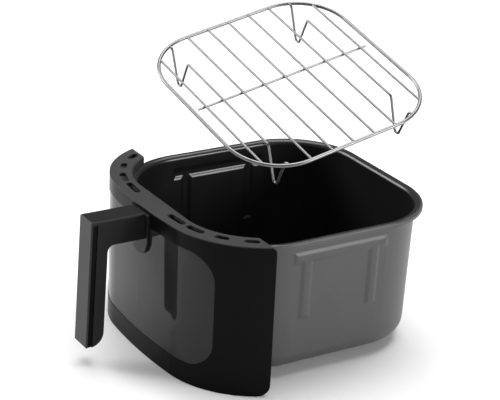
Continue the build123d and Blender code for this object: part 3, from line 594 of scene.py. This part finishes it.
@dataclass
class PressedPan:
    """Steel pan, pressed from one sheet, with soft ribs and a turned-over lip."""

    lip_corner: float = 75.0 * MM
    overhang: float = 6.6 * MM
    lip_drop: float = 4.6 * MM
    wall: float = 1.2 * MM
    taper: float = radians(1.5)
    base_round: float = 14.0 * MM
    rim_round: float = 3.4 * MM
    edge_round: float = 1.0 * MM
    rib_middle: float = 2.5 * MM
    rib_top: float = 118.5 * MM
    rib_bar: float = 103.0 * MM
    rib_width: float = 12.0 * MM
    rib_legs: float = 73.0 * MM
    rib_foot: float = 50.0 * MM
    rib_rise: float = 1.7 * MM
    rib_slope: float = 4.8 * MM
    slope_steps: int = 5
    window_middle: float = 62.0 * MM
    window_half: tuple[float, float] = (36.0 * MM, 32.0 * MM)
    window_corner: float = 8.0 * MM
    corner_steps: int = 18
    base_steps: int = 8
    rim_steps: int = 4
    edge_steps: int = 3
    window_steps: int = 6
    cutter_depth: float = 15.0 * MM
    flat_angle: float = radians(35)
    low: Vector = field(default_factory=Vector)
    high: Vector = field(default_factory=Vector)

    def build(self) -> bpy.types.Object:
        """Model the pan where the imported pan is.

        Returns:
            The new pan.
        """
        self.low, self.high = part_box("pan")
        piece = self._walls()
        self._press_ribs(piece)
        self._raise_lip(piece)
        Workshop.apply(
            piece, "sheet", "SOLIDIFY", thickness=self.wall, offset=-1.0, use_even_offset=True,
            use_rim=True, material_offset=1, material_offset_rim=0,
        )
        self._cut_window(piece)
        self._soften(piece)
        return piece

    def dress(self, piece: bpy.types.Object, paints: Paintbox) -> None:
        """Give the pan its outside and inside finishes, a darker copy of the outside one as painted shade
        on the lip's top, and its body.

        Args:
            piece: The pan.
            paints: Source of the materials.
        """
        piece.data.materials[0] = paints.material(Finishes.PAN_OUTSIDE.value)
        piece.data.materials[1] = paints.material(Finishes.PAN_INSIDE.value)
        piece.data.materials.append(paints.material(Finishes.PAN_LIP.value))
        for face in piece.data.polygons:
            if self._from_edge(face.center) < self.wall:
                face.material_index = 0
            # Faces on the lip's top take the darker copy, as painted shade.
            elif face.center.z > self.high.z - 0.6 * self.wall:
                face.material_index = 2
        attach(piece, Body.DRAWER.value)
        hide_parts("pan")

    def _from_edge(self, point: Vector) -> float:
        """Distance from a point inwards to the lip's outline, seen from above.

        Args:
            point: The point.

        Returns:
            The distance, negative outside the outline.
        """
        past_x = abs(point.x) - (self.high.x - self.lip_corner)
        past_y = abs(point.y) - (self.high.y - self.lip_corner)
        if past_x > 0 and past_y > 0:
            return self.lip_corner - Vector((past_x, past_y)).length
        return self.lip_corner - max(past_x, past_y)

    def _half(self) -> tuple[float, float]:
        """Half-sizes of the wall's outer face at the lip.

        Returns:
            Half-size along X and along Y.
        """
        half_x = (self.high.x - self.low.x) / 2 - self.overhang
        half_y = (self.high.y - self.low.y) / 2 - self.overhang
        return half_x, half_y

    def _walls(self) -> bpy.types.Object:
        """Open, tapered box with rounded corners and a rounded base.

        Returns:
            The box, as a single surface.
        """
        half_x, half_y = self._half()
        top = self.high.z - self.wall - self.rim_round
        low = Vector((-half_x, -half_y, self.low.z))
        high = Vector((half_x, half_y, top))
        corner = self.lip_corner - self.overhang
        piece = Workshop.rounded_block("pan_shell", low, high, corner, self.corner_steps)
        for _ in range(2):
            piece.data.materials.append(None)
        lean = tan(self.taper) * (self.high.z - self.low.z)
        Workshop.open(piece)
        Workshop.pick(Element.VERTEX, lambda vertex: vertex.co.z < self.low.z + NEAR)
        bpy.ops.transform.resize(value=((half_x - lean) / half_x, (half_y - lean) / half_y, 1))
        Workshop.pick(Element.EDGE, lambda edge: all(v.co.z < self.low.z + NEAR for v in edge.verts))
        bpy.ops.mesh.bevel(offset=self.base_round, segments=self.base_steps, profile=0.5, affect="EDGES")
        Workshop.pick(Element.FACE, lambda face: face.calc_center_median().z > top - NEAR)
        bpy.ops.mesh.delete(type="ONLY_FACE")
        Workshop.close()
        return piece

    def _press_ribs(self, piece: bpy.types.Object) -> None:
        """Press a bar on two legs outwards in each side wall.

        Args:
            piece: The open box.
        """
        half_width = self.rib_width / 2
        legs = [self.rib_middle + side * self.rib_legs / 2 for side in (-1, 1)]
        bar = (self.rib_middle - self.rib_bar / 2, self.rib_middle + self.rib_bar / 2)
        bar_low = self.rib_top - self.rib_width
        low_sides = [(bar[0], 1), (bar[1], -1)]
        for leg in legs:
            low_sides += [(leg - half_width, 1), (leg + half_width, -1)]
        heights = [(self.rib_foot, 1), (bar_low, 1), (self.rib_top, -1)]
        side_zone = self._half()[0] / 2
        steps = [self.rib_slope * (step - 1) / self.slope_steps for step in range(self.slope_steps + 2)]
        cuts = [((0, side + inwards * step, 0), (0, 1, 0)) for side, inwards in low_sides for step in steps]
        cuts += [((0, 0, side + inwards * step), (0, 0, 1)) for side, inwards in heights for step in steps]
        Workshop.open(piece)
        for place, across in cuts:
            Workshop.pick(Element.FACE, lambda face: abs(face.calc_center_median().x) > side_zone
                          and abs(face.normal.z) < 0.2)
            bpy.ops.mesh.bisect(plane_co=place, plane_no=across)
        Workshop.close()

        def depth(point: Vector) -> float:
            """How far inside the rib's outline a point of the wall lies.

            Args:
                point: The point.

            Returns:
                The distance to the outline, negative outside it.
            """
            in_bar = min(point.y - bar[0], bar[1] - point.y, point.z - bar_low, self.rib_top - point.z)
            in_legs = [
                min(half_width - abs(point.y - leg), point.z - self.rib_foot, self.rib_top - point.z)
                for leg in legs
            ]
            return max(in_bar, *in_legs)

        group = piece.vertex_groups.new(name="rib")
        for vertex in piece.data.vertices:
            if abs(vertex.co.x) > side_zone:
                share = depth(vertex.co) / self.rib_slope + 1 / self.slope_steps
                share = min(max(share, 0.0), 1.0)
                group.add([vertex.index], share * share * (3 - 2 * share), "REPLACE")
        Workshop.apply(
            piece, "press", "DISPLACE", strength=self.rib_rise, mid_level=0.0, vertex_group="rib",
            direction="NORMAL",
        )
        piece.vertex_groups.clear()

    def _lip_rings(self) -> list[tuple[float, float]]:
        """Sheet's underside from the wall's top to the lip's edge.

        Returns:
            Distance outwards from the wall and height of each ring.
        """
        under = self.high.z - self.wall
        reach = self.overhang - self.wall
        rings = []
        for step in range(1, self.rim_steps + 1):
            turn = step * pi / 2 / self.rim_steps
            rings.append((self.rim_round * (1 - cos(turn)), under - self.rim_round * (1 - sin(turn))))
        for step in range(self.edge_steps + 1):
            turn = step * pi / 2 / self.edge_steps
            out = reach - self.edge_round * (1 - sin(turn))
            rings.append((out, under - self.edge_round * (1 - cos(turn))))
        rings.append((reach, self.high.z - self.lip_drop))
        return rings

    def _raise_lip(self, piece: bpy.types.Object) -> None:
        """Turn the wall's top edge outwards and down.

        Args:
            piece: The ribbed box.
        """
        half_x, half_y = self._half()
        top = self.high.z - self.wall - self.rim_round
        Workshop.open(piece)
        Workshop.pick(Element.EDGE, lambda edge: edge.is_boundary)
        out, height = 0.0, top
        for next_out, next_height in self._lip_rings():
            grow = ((half_x + next_out) / (half_x + out), (half_y + next_out) / (half_y + out), 1)
            bpy.ops.mesh.extrude_region_move(TRANSFORM_OT_translate={"value": (0, 0, next_height - height)})
            bpy.ops.transform.resize(value=grow, center_override=(0, 0, next_height))
            out, height = next_out, next_height
        bpy.ops.mesh.select_all(action="SELECT")
        bpy.ops.mesh.normals_make_consistent(inside=False)
        base = min(bmesh.from_edit_mesh(piece.data).faces, key=lambda face: face.calc_center_median().z)
        if base.normal.z > 0:
            bpy.ops.mesh.flip_normals()
        Workshop.close()

    def _cut_window(self, piece: bpy.types.Object) -> None:
        """Cut the inner window's opening in the front wall.

        Args:
            piece: The finished sheet.
        """
        half_x, half_z = self.window_half
        front = self.low.y + self.overhang
        low = Vector((-half_x, -half_z, -self.cutter_depth))
        high = Vector((half_x, half_z, self.cutter_depth))
        cutter = Workshop.rounded_block("window_cutter", low, high, self.window_corner, self.window_steps)
        cutter.data.transform(Matrix.Rotation(pi / 2, 4, "X"))
        cutter.data.transform(Matrix.Translation((0, front, self.window_middle)))
        Workshop.apply(piece, "window", "BOOLEAN", object=cutter, operation="DIFFERENCE", solver="EXACT")
        bpy.data.objects.remove(cutter)

    def _soften(self, piece: bpy.types.Object) -> None:
        """Smooth shading that keeps flat walls flat.

        Args:
            piece: The finished sheet.
        """
        bpy.ops.object.select_all(action="DESELECT")
        bpy.context.view_layer.objects.active = piece
        piece.select_set(True)
        bpy.ops.object.shade_smooth_by_angle(angle=self.flat_angle)
        Workshop.apply(piece, "weights", "WEIGHTED_NORMAL", keep_sharp=True, weight=60)


class CadPieces:
    """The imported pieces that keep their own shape."""

    def __init__(self, nodes: dict[str, bpy.types.Object]) -> None:
        """Keep the nodes to dress.

        Args:
            nodes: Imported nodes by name.
        """
        self.nodes = nodes

    def dress(self, paints: Paintbox) -> None:
        """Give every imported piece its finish.

        Args:
            paints: Source of the materials.
        """
        for name, finish in CAD_FINISHES.items():
            data = self.nodes[name].data
            material = paints.material(finish.value)
            if not data.materials:
                data.materials.append(material)
            for place in range(len(data.materials)):
                data.materials[place] = material


@dataclass(frozen=True)
class Lamp:
    """Square area light.

    Attributes:
        name: Name of the light.
        place: Where it hangs.
        aim: The point that it faces.
        side: Length of its side.
        power: Its power in watts.
    """

    name: str
    place: tuple[float, float, float]
    aim: tuple[float, float, float]
    side: float
    power: float


@dataclass
class Studio:
    """Pale floor, soft lights and the camera."""

    lamps: tuple[Lamp, ...] = (
        Lamp("key", (-3.0, -2.6, 2.2), (0.0, 0.0, 0.1), 2.2, 150.0),
        Lamp("top", (-0.4, 0.6, 2.8), (0.0, 0.1, 0.0), 2.4, 95.0),
        Lamp("right", (2.2, 1.3, 0.8), (0.1, 0.1, 0.06), 0.8, 36.0),
    )
    surroundings: float = 0.16
    floor_tones: tuple[float, float] = (0.92, 0.94)
    floor_half: float = 8.0
    floor_gap: float = 0.3 * MM
    camera_place: tuple[float, float, float] = (1.3099, -0.8464, 0.7622)
    heading: float = radians(57.992)
    height: float = radians(22.445)
    roll: float = radians(2.703)
    lens: float = 126.85

    def build(self) -> None:
        """Set up the floor, the surroundings, the lights and the camera."""
        self._floor()
        self._world()
        for lamp in self.lamps:
            self._hang(lamp)
        self._camera()

    def _floor(self) -> None:
        """Wide pale floor just below the object."""
        low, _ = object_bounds()
        bpy.ops.object.select_all(action="DESELECT")
        bpy.ops.mesh.primitive_plane_add(size=2 * self.floor_half, location=(0, 0, low[2] - self.floor_gap))
        floor = bpy.context.active_object
        floor.name = "studio_floor"
        material = bpy.data.materials.new("studio_floor")
        material.use_nodes = True
        tree = material.node_tree
        tree.nodes.clear()
        place = add_node(tree, "ShaderNodeTexCoord").outputs["Object"]
        tone = add_node(tree, "ShaderNodeTexNoise", Vector=place, Scale=2.0, Detail=2.0)
        dark, light = self.floor_tones
        tint = add_node(
            tree, "ShaderNodeMix", {"data_type": "RGBA"}, input_0=tone.outputs["Fac"],
            input_6=(dark, dark, dark, 1.0), input_7=(light, light, light, 1.0),
        )
        shader = add_node(tree, "ShaderNodeBsdfPrincipled", Base_Color=tint.outputs[2], Roughness=0.7)
        add_node(tree, "ShaderNodeOutputMaterial", Surface=shader.outputs["BSDF"])
        floor.data.materials.append(material)
        floor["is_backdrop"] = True

    def _world(self) -> None:
        """Even pale surroundings."""
        world = bpy.data.worlds.new("studio")
        bpy.context.scene.world = world
        world.use_nodes = True
        backdrop = world.node_tree.nodes["Background"]
        backdrop.inputs["Color"].default_value = (1.0, 1.0, 1.0, 1.0)
        backdrop.inputs["Strength"].default_value = self.surroundings

    @staticmethod
    def _hang(lamp: Lamp) -> None:
        """Put up a light.

        Args:
            lamp: The light to put up.
        """
        data = bpy.data.lights.new(lamp.name, "AREA")
        data.shape = "SQUARE"
        data.size = lamp.side
        data.energy = lamp.power
        light = bpy.data.objects.new(lamp.name, data)
        bpy.context.scene.collection.objects.link(light)
        light.location = lamp.place
        beam = Vector(lamp.aim) - Vector(lamp.place)
        light.rotation_euler = beam.to_track_quat("-Z", "Y").to_euler()

    def _camera(self) -> None:
        """Long lens, from the right, the front and above."""
        back = Vector((
            sin(self.heading) * cos(self.height), -cos(self.heading) * cos(self.height), sin(self.height)
        ))
        right = Vector((0, 0, 1)).cross(back).normalized()
        up = back.cross(right)
        across = cos(self.roll) * right + sin(self.roll) * up
        upright = -sin(self.roll) * right + cos(self.roll) * up
        data = bpy.data.cameras.new("camera")
        data.lens = self.lens
        data.sensor_width = 36.0
        data.clip_end = 50.0
        camera = bpy.data.objects.new("camera", data)
        bpy.context.scene.collection.objects.link(camera)
        turn = Matrix((across, upright, back)).transposed().to_4x4()
        camera.matrix_world = Matrix.Translation(self.camera_place) @ turn
        bpy.context.scene.camera = camera
        bpy.context.scene.view_settings.view_transform = "Standard"


def main() -> None:
    """Build the looks in order."""
    logging.basicConfig(level=logging.INFO)
    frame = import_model()
    log.info("packed model loaded: %d nodes", len(frame["nodes"]))
    Studio().build()
    paints = Paintbox()
    CadPieces(frame["nodes"]).dress(paints)
    log.info("packed pieces dressed")
    pan = PressedPan()
    pan.dress(pan.build(), paints)
    log.info("pan pressed")


if __name__ == "__main__":
    main()
